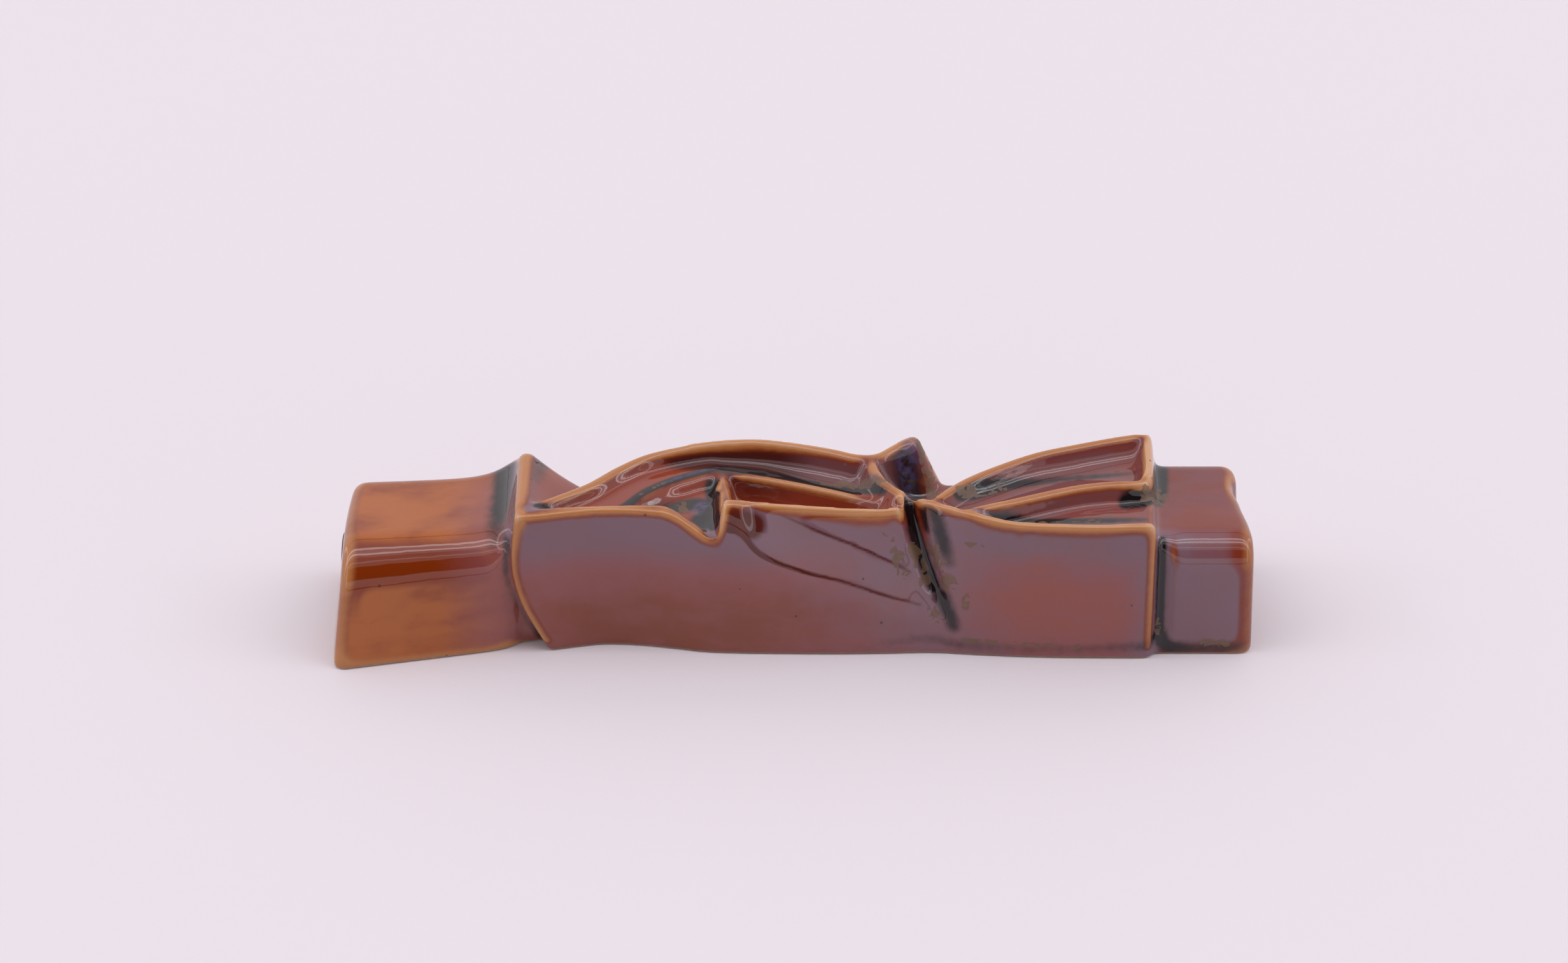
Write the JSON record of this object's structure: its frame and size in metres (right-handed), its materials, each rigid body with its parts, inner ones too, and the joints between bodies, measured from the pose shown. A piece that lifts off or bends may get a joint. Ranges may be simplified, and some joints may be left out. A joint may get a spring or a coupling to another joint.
{
  "type": "mezuzah case",
  "caption": "Slim glazed ceramic case with a folded relief on its front, a blind bore for a rolled scroll and a pull-out rubber stopper.",
  "frame": {"origin": "middle of the flat back face, halfway along the case", "axes": "+X along the case to the end that hangs uppermost, +Z out of the front, away from the doorpost, +Y across the case"},
  "size_m": [0.129, 0.0289, 0.0233],
  "materials": {
    "glaze": "high gloss treacle-brown glaze, breaking to tan on the rims and pooling blue-grey in the folds",
    "stopper_rubber": "matt moulded rubber",
    "parchment": "dry cream parchment, blank",
    "clear_film": "thin clear film"
  },
  "bodies": {
    "case": {"case_body": "glaze"},
    "stopper": {"stopper": "stopper_rubber"},
    "scroll": {"parchment_scroll": "parchment", "scroll_sleeve": "clear_film"}
  },
  "joints": [
    {"name": "stopper_pull", "type": "slide", "parent": "case", "child": "stopper", "axis": [-1, 0, 0], "range_m": [0, 0.122]},
    {"name": "scroll_end_play", "type": "slide", "parent": "stopper", "child": "scroll", "axis": [1, 0, 0], "range_m": [0, 0.0065]}
  ]
}
